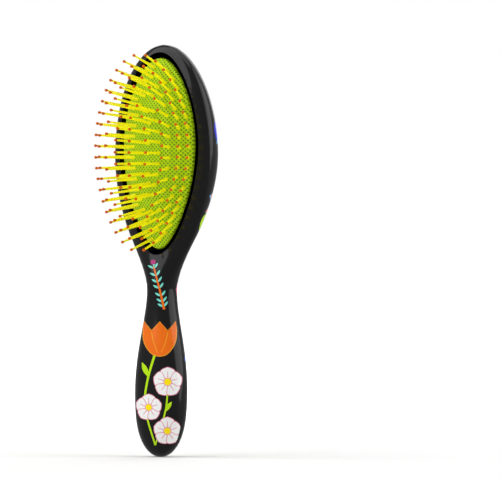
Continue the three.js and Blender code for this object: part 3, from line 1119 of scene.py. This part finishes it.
@dataclass
class Pins:
    """The nylon pins, one piece for each strip that they stand on, with dipped ball tips."""

    placing: Placing
    dome: DomeForm = field(default_factory=DomeForm)
    margin_side: float = 2.6
    margin_end: float = 5.2
    length: float = 18.0
    root: float = 0.95
    end: float = 0.55
    ball: float = 0.88
    collar: float = 1.15
    collar_top: float = 0.45
    neck: float = 0.66
    head: float = 0.95
    head_thick: float = 0.5
    depth: float = 2.4
    strip: float = 1.0
    strip_thick: float = 0.45
    sides: int = 14
    samples: int = 720
    rings: tuple[PinRing, ...] = (
        PinRing("outer", "outer_ring_pins", 40, 4, 1, 1, 36, 21),
        PinRing("second", "second_ring_pins", 36, 4, 0.795, 0.889, 36, 18.5),
        PinRing("third", "third_ring_pins", 28, 4, 0.552, 0.781, 26.4, 17),
        PinRing("inner", "inner_ring_pins", 18, 2, 0.297, 0.514, 14.1, 10),
    )
    centre_row: tuple[float, ...] = (-0.66, -0.346, -0.231, -0.115, 0, 0.115, 0.231, 0.346, 0.66)
    centre_lean: float = 24.0

    def field_size(self) -> tuple[float, float]:
        """Half the pin field's length and width."""
        opening = self.dome.opening
        return opening.long - self.margin_end, opening.wide - self.margin_side

    def pin(self, across: float, along: float, lean_across: float, lean_along: float) -> Pin:
        """A pin at this place on the dome, with these leans in radians."""
        foot = np.array([across, float(self.dome.out(np.array(across), np.array(along))), along])
        way = np.array([math.tan(lean_across), 1.0, math.tan(lean_along)])
        return foot, way / np.linalg.norm(way)

    def place_ring(self, ring: PinRing) -> list[Pin]:
        """Spaces a ring's pins evenly round its egg."""
        long, wide = self.field_size()
        angle = np.arange(self.samples + 1) * 2 * math.pi / self.samples
        path = self.dome.opening.at(angle, long * ring.long, wide * ring.wide)
        walked = np.concatenate([[0], np.cumsum(np.linalg.norm(np.diff(path, axis=0), axis=1))])
        placed = []
        for k in range(ring.pins):
            i = int(np.argmax(walked >= walked[-1] * (k + 0.5) / ring.pins))
            across, along = path[i]
            lean_along = math.radians(ring.lean_end) * math.cos(angle[i])
            lean_across = math.radians(ring.lean_side) * math.sin(angle[i])
            placed.append(self.pin(across, along, lean_across, lean_along))
        return placed

    def turned(
        self, foot: np.ndarray, way: np.ndarray
    ) -> tuple[np.ndarray, list[tuple[int, ...]], list[int]]:
        """One pin: its head under the cushion, collar, tapered shaft and ball tip.

        Args:
            foot: where it comes out of the cushion.
            way: its direction.

        Returns:
            Points, faces, and 1 for each face of the dipped tip.
        """
        deep = -self.depth
        profile = [
            (0.0, deep), (self.head, deep), (self.head, deep + self.head_thick),
            (self.neck, deep + self.head_thick + 0.1), (self.neck, -0.4), (self.collar, -0.3),
            (self.collar, 0.25), (self.collar * 0.93, self.collar_top), (self.root, self.collar_top + 0.15),
            ((self.root + self.end) / 2, self.length * 0.42), (self.end, self.length - self.ball * 1.25),
        ]
        dip = len(profile)
        for angle in np.linspace(-0.95, math.pi / 2, 8)[:-1]:
            profile.append((self.ball * math.cos(angle), self.length + self.ball * math.sin(angle)))
        profile.append((0.0, self.length + self.ball))
        side = np.cross(way, [0.31, 0.2, 0.93])
        side /= np.linalg.norm(side)
        other = np.cross(way, side)
        turn = np.linspace(0, 2 * math.pi, self.sides, endpoint=False)
        points, rows = [foot + way * profile[0][1]], []
        for radius, height in profile[1:-1]:
            rows.append(list(range(len(points), len(points) + self.sides)))
            middle = foot + way * height
            points += [middle + radius * (side * math.cos(a) + other * math.sin(a)) for a in turn]
        points.append(foot + way * profile[-1][1])
        ring = [(i, (i + 1) % self.sides) for i in range(self.sides)]
        faces = [(0, rows[0][i], rows[0][j]) for i, j in ring]
        faces += [face[::-1] for face in ring_faces(rows)]
        faces += [(rows[-1][j], rows[-1][i], len(points) - 1) for i, j in ring]
        plain = self.sides * (dip - 1)
        return np.array(points), faces, [0] * plain + [1] * (len(faces) - plain)

    def beam(self, placed: list[Pin]) -> tuple[np.ndarray, list[tuple[int, ...]]]:
        """The flat strip under the cushion that a few pins stand on."""
        middles = [foot - way * self.depth for foot, way in placed]
        rows, points = [], []
        for i, (middle, (_, way)) in enumerate(zip(middles, placed)):
            along = middles[min(i + 1, len(middles) - 1)] - middles[max(i - 1, 0)]
            across = np.cross(along, way)
            across /= np.linalg.norm(across)
            rows.append(list(range(len(points), len(points) + 4)))
            for a, b in ((1, 1), (1, -1), (-1, -1), (-1, 1)):
                points.append(middle + across * self.strip * a + way * self.strip_thick * b)
        return np.array(points), [*ring_faces(rows), tuple(rows[0][::-1]), tuple(rows[-1])]

    def cluster(
        self, name: tuple[str, str], body: str, placed: list[Pin], materials: list[bpy.types.Material]
    ) -> bpy.types.Object:
        """Builds the piece for one CAD node of pins.

        Args:
            name: the piece's name, and the CAD node that it stands for.
            body: the body that it rides on.
            placed: its pins.
            materials: the nylon and the dipped tip.

        Returns:
            The piece.
        """
        points, faces, dipped = [], [], []
        count = 0
        parts = [self.turned(foot, way) for foot, way in placed]
        if len(placed) > 1:
            beam, beam_faces = self.beam(placed)
            parts.append((beam, beam_faces, [0] * len(beam_faces)))
        for part_points, part_faces, part_dipped in parts:
            points.append(part_points)
            faces += [tuple(count + n for n in face) for face in part_faces]
            dipped += part_dipped
            count += len(part_points)
        piece, node = name
        made = make_piece(
            piece, self.placing.metres(np.concatenate(points)), faces, materials, np.array(dipped, np.int32)
        )
        return stand_in(made, node, body)

    def build(self, nylon: bpy.types.Material, dip: bpy.types.Material) -> list[bpy.types.Object]:
        """Builds every pin.

        Args:
            nylon: the shafts' material.
            dip: the ball tips' material.

        Returns:
            The pieces.
        """
        pieces, both = [], [nylon, dip]
        for ring in self.rings:
            placed = self.place_ring(ring)
            for number, start in enumerate(range(0, ring.pins, ring.per_node), 1):
                tail = f"{ring.name}_{number:02d}"
                few = placed[start : start + ring.per_node]
                pieces.append(self.cluster((f"nylon_{tail}", f"pins_{tail}"), ring.body, few, both))
        long, _ = self.field_size()
        for number, share in enumerate(self.centre_row, 1):
            along = self.dome.opening.centre + share * long
            placed = [self.pin(0.0, along, 0.0, math.radians(self.centre_lean * share))]
            names = f"nylon_centre_{number}", f"pin_centre_{number}"
            pieces.append(self.cluster(names, "centre_pins", placed, both))
        return pieces


# ---------------------------------------------------------------- print
class Ink(Enum):
    """The print's inks, named for their colours."""

    CRIMSON = "#d4244e"
    AMBER = "#f0a020"
    BLUE = "#1226c8"
    TURQUOISE = "#74dccc"
    SKY = "#5cb0ec"
    LIME = "#b4e000"
    ORANGE = "#ea6c0a"
    YELLOW = "#ffe600"
    MAGENTA = "#b0077a"
    WHITE = "#f1f1f0"
    ROSE = "#e48aa0"


class SeenFrom(Enum):
    """Where a plant faces: its half, and how far round to the right it is seen from, in degrees."""

    BEHIND = (Side.BACK, 0.0)
    FRONT_RIGHT = (Side.FRONT, 38.5)
    FLANK = (Side.BACK, -141.5)


@dataclass
class Garden:
    """A plain flower print. Each plant is drawn as seen from its side, and wrapped on the body."""

    form: BodyForm = field(default_factory=BodyForm)
    patches: list[Patch] = field(default_factory=list)
    seen_from: SeenFrom = SeenFrom.BEHIND
    margin: float = 3.0
    border: float = 0.4

    def lay(self, ink: Ink, seen: np.ndarray) -> None:
        """Prints a closed outline, given as it is seen from where the plant faces.

        Args:
            ink: its colour.
            seen: rows of (right, along), in mm.
        """
        side, turn = self.seen_from.value
        outline = self.form.wrap(np.asarray(seen, float), side, turn)
        if self.seen_from is SeenFrom.BEHIND:
            limit = self.form.reach(outline[:, 1], side) - self.margin
            outline[:, 0] = np.clip(outline[:, 0], -limit, limit)
        self.patches.append(Patch(ink.name.lower(), side, outline))

    @staticmethod
    def smooth(points: list[tuple[float, float]], steps: int = 5) -> np.ndarray:
        """A smooth open curve through points, with this many pieces between two of them."""
        p = np.array(points, float)
        last = len(p) - 1
        out = []
        for i in range(last):
            a, b, c, d = p[max(i - 1, 0)], p[i], p[i + 1], p[min(i + 2, last)]
            for t in np.linspace(0, 1, steps, endpoint=False):
                bend = (2 * a - 5 * b + 4 * c - d) * t**2 + (3 * b - a - 3 * c + d) * t**3
                out.append(b + (c - a) * t / 2 + bend / 2)
        out.append(p[-1])
        return np.array(out)

    @staticmethod
    def disc(x: float, y: float, r: float, sides: int = 20) -> np.ndarray:
        """A round dot."""
        a = np.linspace(0, 2 * math.pi, sides, endpoint=False)
        return np.stack([x + r * np.cos(a), y + r * np.sin(a)], axis=1)

    @staticmethod
    def petal(
        x: float, y: float, angle: float, inner: float, outer: float, wide: float, blunt: float
    ) -> np.ndarray:
        """A petal or leaf that points away from a middle.

        Args:
            x: the middle, across.
            y: the middle, along.
            angle: its direction, in degrees anticlockwise from right.
            inner: how far from the middle it starts.
            outer: how far it reaches.
            wide: its widest width.
            blunt: 0 for a pointed end, and 1 for a very round one.

        Returns:
            The outline.
        """
        t = np.linspace(0, 1, 13)
        long = inner + (outer - inner) * t
        bulge = np.maximum(np.sin(math.pi * t ** (1 + blunt)), 0)
        half = wide / 2 * bulge ** (1 - 0.35 * blunt)
        there = np.stack([long, half], axis=1)
        back = np.stack([long[::-1], -half[::-1]], axis=1)[1:-1]
        outline = np.concatenate([there, back])
        c, s = math.cos(math.radians(angle)), math.sin(math.radians(angle))
        return np.stack(
            [x + outline[:, 0] * c - outline[:, 1] * s, y + outline[:, 0] * s + outline[:, 1] * c], axis=1
        )

    @staticmethod
    def grown(outline: np.ndarray, by: float) -> np.ndarray:
        """An outline pushed outwards by a width, for a contrasting border."""
        after, before = np.roll(outline, -1, axis=0), np.roll(outline, 1, axis=0)
        way = after - before
        way /= np.maximum(np.linalg.norm(way, axis=1, keepdims=True), 1e-9)
        area = (outline[:, 0] * after[:, 1] - after[:, 0] * outline[:, 1]).sum()
        return outline + np.stack([way[:, 1], -way[:, 0]], axis=1) * by * (1 if area > 0 else -1)

    def stem(self, ink: Ink, points: list[tuple[float, float]], first: float, last: float) -> None:
        """A tapering band along a smooth line.

        Args:
            ink: its colour.
            points: the line.
            first: its width at the start.
            last: its width at the end.
        """
        line = self.smooth(points)
        way = np.gradient(line, axis=0)
        way /= np.linalg.norm(way, axis=1, keepdims=True)
        width = np.linspace(first, last, len(line))[:, None]
        across = np.stack([-way[:, 1], way[:, 0]], axis=1) * width / 2
        self.lay(ink, np.concatenate([line + across, (line - across)[::-1]]))

    def edged(self, ink: Ink, edge: Ink, outline: np.ndarray) -> None:
        """A shape with a thin border in a second ink."""
        self.lay(edge, self.grown(outline, self.border))
        self.lay(ink, outline)

    def leaf(self, x: float, y: float, angle: float, long: float, ink: Ink = Ink.LIME) -> None:
        """A pointed leaf."""
        self.lay(ink, self.petal(x, y, angle, 0.0, long, long * 0.3, 0.15))

    def blossom(
        self, x: float, y: float, petals: int, reach: float, inks: tuple[Ink, Ink, Ink], blunt: float = 0.5
    ) -> None:
        """A round flower with even petals, a vein in each, and a heart with a ring of dots.

        Args:
            x: its middle, across.
            y: its middle, along.
            petals: how many.
            reach: how far they reach.
            inks: the petals, their borders and veins, and the heart.
            blunt: how round their ends are.
        """
        ink, edge, heart = inks
        wide = reach * 2 * math.sin(math.pi / petals) * 0.84
        for k in range(petals):
            angle = 90 + 360 * k / petals
            self.edged(ink, edge, self.petal(x, y, angle, reach * 0.12, reach, wide, blunt))
            c, s = math.cos(math.radians(angle)), math.sin(math.radians(angle))
            vein = [(x + reach * share * c, y + reach * share * s) for share in (0.3, 0.72)]
            self.stem(edge, vein, 0.5, 0.3)
        self.edged(heart, edge, self.disc(x, y, reach * 0.24))
        if reach > 9:
            for k in range(8):
                turn = 2 * math.pi * k / 8
                place = (x + reach * 0.13 * math.cos(turn), y + reach * 0.13 * math.sin(turn))
                self.lay(edge, self.disc(*place, 0.5, 8))

    def cup(self, x: float, foot: float, wide: float, tall: float, ink: Ink, edge: Ink) -> None:
        """A tulip: three pointed petals in a round bowl.

        Args:
            x: its middle, across.
            foot: its lowest point.
            wide: its width.
            tall: its height.
            ink: its colour.
            edge: the colour of its border and veins.
        """
        half = wide / 2
        crown = [(half, 1.0), (half * 0.5, 0.72), (0.0, 0.98), (-half * 0.5, 0.72), (-half, 1.0)]
        right = [(half * 0.55, 0.1), (half * 0.98, 0.45), (half, 1.0)]
        left = [(-across, up) for across, up in reversed(right)]
        bowl = self.smooth([*left, (0.0, 0.0), *right], 4)[1:-1]
        outline = np.concatenate([np.array(crown), bowl])
        outline[:, 1] *= tall
        self.edged(ink, edge, outline + [x, foot])
        for sign in (-1, 1):
            vein = [(x + sign * half * 0.5, foot + tall * 0.68), (x + sign * half * 0.34, foot + tall * 0.36)]
            self.stem(edge, [*vein, (x + sign * half * 0.12, foot + tall * 0.1)], 0.5, 0.3)

    def sprig(
        self, points: list[tuple[float, float]], inks: tuple[Ink, Ink], pairs: int, long: float
    ) -> None:
        """A stem with small leaves in pairs.

        Args:
            points: its line, from the foot up.
            inks: the stem and the leaves.
            pairs: how many pairs of leaves.
            long: the length of a leaf.
        """
        line = self.smooth(points, 12)
        for place in np.linspace(2, len(line) - 3, pairs).astype(int):
            (x, y), (dx, dy) = line[place], line[place + 1] - line[place - 1]
            heading = math.degrees(math.atan2(dy, dx))
            for lean in (-48, 48):
                self.leaf(x, y, heading + lean, long, inks[1])
        self.stem(inks[0], points, 1.5, 0.8)
        self.leaf(*line[-2], 90, long, inks[1])

    def back(self) -> None:
        """The back of the head and of the handle."""
        for points, first, last in (
            ([(-5, 208), (-3, 180), (-1, 150), (0, 120), (-1, 92)], 0.9, 1.6),
            ([(11, 180), (8, 152), (3, 126), (1, 92)], 1.8, 1.6),
            ([(-20, 184), (-22, 166), (-10, 134), (-3, 104)], 1.2, 1.2),
            ([(19, 150), (13, 130), (5, 108), (2, 92)], 1.2, 1.2),
            ([(0, 96), (-1, 60), (1, 30), (0, 4)], 2.0, 1.2),
            ([(-7, 32), (-4, 20), (0, 6)], 1.0, 0.9),
            ([(7, 30), (5, 18), (0, 5)], 1.0, 0.9),
        ):
            self.stem(Ink.LIME, points, first, last)
        for x, y, angle, long in (
            (9, 160, 40, 12), (-22, 168, 128, 12), (14, 134, 60, 15), (-9, 132, 120, 14), (-4, 108, 118, 13),
            (4, 108, 62, 13), (0, 68, 52, 12), (0, 68, 128, 12), (0, 10, 150, 11), (0, 10, 30, 11),
            (-12, 126, 105, 13), (17, 122, 70, 14),
        ):
            self.leaf(x, y, angle, long)
        self.leaf(26, 205, 112, 15, Ink.TURQUOISE)
        self.leaf(26, 205, 68, 13, Ink.SKY)
        self.blossom(-4, 215, 12, 12, (Ink.CRIMSON, Ink.ROSE, Ink.TURQUOISE))
        self.cup(-20, 178, 18, 23, Ink.BLUE, Ink.SKY)
        self.blossom(12, 187, 5, 20, (Ink.WHITE, Ink.ROSE, Ink.CRIMSON))
        self.blossom(-13.5, 152, 12, 18.5, (Ink.ORANGE, Ink.SKY, Ink.YELLOW))
        self.blossom(18.5, 152, 6, 13, (Ink.SKY, Ink.BLUE, Ink.YELLOW))
        self.blossom(3, 127, 7, 10.5, (Ink.YELLOW, Ink.AMBER, Ink.CRIMSON))
        self.cup(0, 86, 15, 20, Ink.CRIMSON, Ink.ROSE)
        self.blossom(-0.5, 57, 8, 13.5, (Ink.TURQUOISE, Ink.BLUE, Ink.YELLOW))
        self.cup(-7, 24, 13, 18, Ink.MAGENTA, Ink.ROSE)
        self.cup(6.5, 22, 12, 16, Ink.YELLOW, Ink.LIME)

    def flank(self) -> None:
        """Leaf tips that reach round the edge from the back."""
        self.leaf(31, 184, 82, 17, Ink.BLUE)
        self.leaf(31, 182, 60, 9, Ink.SKY)
        self.leaf(21, 129, 62, 18)

    def front(self) -> None:
        """The front of the neck and of the handle."""
        self.sprig([(1.5, 86), (-1.4, 98), (-5, 111)], (Ink.ORANGE, Ink.TURQUOISE), 7, 4.2)
        self.lay(Ink.MAGENTA, self.disc(-5.2, 113.4, 1.5))
        self.stem(Ink.LIME, [(-3, 62), (-8, 44), (-9, 28), (-3, 7)], 1.4, 1.0)
        self.stem(Ink.LIME, [(4, 44), (3, 28), (-3, 7)], 1.0, 0.9)
        self.leaf(-7, 46, 115, 10)
        self.leaf(2, 26, 56, 8)
        self.cup(-1, 59, 19, 20, Ink.ORANGE, Ink.AMBER)
        self.blossom(4, 44, 5, 8.4, (Ink.WHITE, Ink.ROSE, Ink.YELLOW))
        self.blossom(-7, 29, 5, 7.6, (Ink.WHITE, Ink.ROSE, Ink.YELLOW))
        self.blossom(4, 15.5, 5, 8.0, (Ink.WHITE, Ink.ROSE, Ink.YELLOW))

    def draw(self) -> list[Patch]:
        """Draws the whole print, back first.

        Returns:
            The printed shapes, the lowest first.
        """
        for seen_from, plants in (
            (SeenFrom.BEHIND, self.back), (SeenFrom.FLANK, self.flank), (SeenFrom.FRONT_RIGHT, self.front)
        ):
            self.seen_from = seen_from
            plants()
        return self.patches


# ---------------------------------------------------------------- scene
@dataclass(frozen=True)
class SoftBox:
    """A round soft light facing the brush: degrees round from the pins' side and up, metres, and watts."""

    name: str
    turn: float
    rise: float
    away: float
    wide: float
    high: float
    power: float


@dataclass
class Studio:
    """A plain pale floor, soft lights and the camera."""

    look_turn: float = 38.5
    look_roll: float = 0.5
    distance: float = 3.0
    sensor_mm: float = 36.0
    frame_wide: float = 0.2908
    aim_right: float = 0.0549
    aim_height: float = 0.1209
    far: float = 50.0
    lamp_height: float = 0.12
    lamps: tuple[SoftBox, ...] = (
        SoftBox("key", -30, 38, 2.0, 2.6, 2.4, 26),
        SoftBox("right", 125, 25, 2.0, 2.2, 2.4, 18),
        SoftBox("top", 38, 86, 1.6, 1.6, 1.6, 8),
        SoftBox("back", 205, 30, 2.2, 2.4, 2.2, 18),
    )
    seen_light: float = 1.0
    felt_light: float = 0.32
    floor_reach: float = 12.0
    bare_floor: float = 0.35
    lit_floor: float = 1.1

    @staticmethod
    def towards(turn: float, rise: float = 0.0) -> Vector:
        """The direction of something so many degrees round from the pins' side, and so many up."""
        a, e = math.radians(turn), math.radians(rise)
        return Vector((math.sin(a) * math.cos(e), -math.cos(a) * math.cos(e), math.sin(e)))

    def camera(self) -> None:
        """Stands the camera level, to the right of the pins' side, and aims it past the brush's right."""
        back, right = self.towards(self.look_turn), self.towards(self.look_turn + 90)
        data = bpy.data.cameras.new("camera")
        data.sensor_width = self.sensor_mm
        data.lens = self.sensor_mm * self.distance / self.frame_wide
        data.clip_end = self.far
        camera = bpy.data.objects.new("camera", data)
        camera.location = Vector((0, 0, self.aim_height)) + right * self.aim_right + back * self.distance
        level = (-back).to_track_quat("-Z", "Y").to_matrix()
        roll = Matrix.Rotation(math.radians(self.look_roll), 3, "Z")
        camera.rotation_euler = (level @ roll).to_euler()
        bpy.context.scene.collection.objects.link(camera)
        bpy.context.scene.camera = camera

    def light(self, box: SoftBox) -> None:
        """Adds one soft box."""
        back = self.towards(box.turn, box.rise)
        data = bpy.data.lights.new(box.name, "AREA")
        data.shape = "ELLIPSE"
        data.size, data.size_y = box.wide, box.high
        data.energy = box.power
        lamp = bpy.data.objects.new(box.name, data)
        lamp.location = Vector((0, 0, self.lamp_height)) + back * box.away
        lamp.rotation_euler = (-back).to_track_quat("-Z", "Y").to_euler()
        bpy.context.scene.collection.objects.link(lamp)

    def world(self) -> None:
        """White all round to the eye, and softer than that to what it lights."""
        world = bpy.data.worlds.new("studio")
        world.use_nodes = True
        tree = world.node_tree
        tree.nodes.clear()
        white = (1, 1, 1, 1)
        seen = add(tree, "ShaderNodeBackground", {"Color": white, "Strength": self.seen_light})
        felt = add(tree, "ShaderNodeBackground", {"Color": white, "Strength": self.felt_light})
        rays = add(tree, "ShaderNodeLightPath")
        both = add(
            tree, "ShaderNodeMixShader", {},
            {0: rays.outputs["Is Camera Ray"], 1: felt.outputs[0], 2: seen.outputs[0]},
        )
        add(tree, "ShaderNodeOutputWorld", {}, {"Surface": both.outputs[0]})
        bpy.context.scene.world = world

    def floor(self) -> None:
        """A wide matt white floor under the tail, lit from within further off, so that it meets the white."""
        material, tree = blank("floor_paper")
        place = add(tree, "ShaderNodeTexCoord")
        grain = add(tree, "ShaderNodeTexNoise", {"Scale": 60.0}, {"Vector": place.outputs["Object"]})
        shade = add(
            tree, "ShaderNodeMapRange", {"To Min": 0.9, "To Max": 0.92}, {"Value": grain.outputs["Fac"]}
        )
        away = add(tree, "ShaderNodeVectorMath", {"operation": "LENGTH"}, {0: place.outputs["Object"]})
        lit = add(
            tree, "ShaderNodeMapRange",
            {"From Min": self.bare_floor, "From Max": self.lit_floor, "To Max": 1.0},
            {"Value": away.outputs["Value"]},
        )
        surface(
            tree,
            {"Roughness": 1.0, "Specular IOR Level": 0.0, "Emission Color": (1, 1, 1, 1)},
            {"Base Color": shade.outputs[0], "Emission Strength": lit.outputs[0]},
        )
        mesh = bpy.data.meshes.new("floor")
        reach = self.floor_reach
        corners = [(-reach, -reach, 0), (reach, -reach, 0), (reach, reach, 0), (-reach, reach, 0)]
        mesh.from_pydata(corners, [], [(0, 1, 2, 3)])
        mesh.materials.append(material)
        plane = bpy.data.objects.new("floor", mesh)
        plane.visible_glossy = False
        bpy.context.scene.collection.objects.link(plane)

    def build(self) -> None:
        """Sets up everything round the brush."""
        self.camera()
        self.world()
        self.floor()
        for box in self.lamps:
            self.light(box)
        bpy.context.scene.view_settings.view_transform = "Standard"


def main() -> None:
    """Builds the brush round its frame."""
    logging.basicConfig(level=logging.INFO, format="%(name)s: %(message)s")
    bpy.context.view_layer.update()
    Studio().build()
    placing = Placing()

    inks = {"lacquer": PrintedLacquer("abs_lacquered_black", "#0d0d0f", unevenness=0.04).build()}
    for ink in Ink:
        inks[ink.name.lower()] = PrintedLacquer(f"ink_{ink.name.lower()}_lacquered", ink.value).build()
    garden = Garden().draw()
    for piece in Shells(placing).build(garden, inks):
        log.info("%s: %d faces, %d printed shapes", piece.name, len(piece.data.polygons), len(garden))

    cushion = AirCushion(placing).build(WovenRubber().build())
    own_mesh(cushion)

    nylon = MouldedNylon("pin_nylon_yellow", "#fff80a").build()
    dip = MouldedNylon("pin_tip_dipped_orange", "#cc6000", roughness=0.45, shine=0.12, glow=0.05).build()
    for piece in Pins(placing).build(nylon, dip):
        log.info("%s: %d faces", piece.name, len(piece.data.polygons))

    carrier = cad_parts["cushion_carrier"]
    carrier.data.materials.clear()
    carrier.data.materials.append(PlainPlastic().build())
    log.info("%s: the CAD's own shape, in plain moulded ABS", carrier.name)


if __name__ == "__main__":
    main()
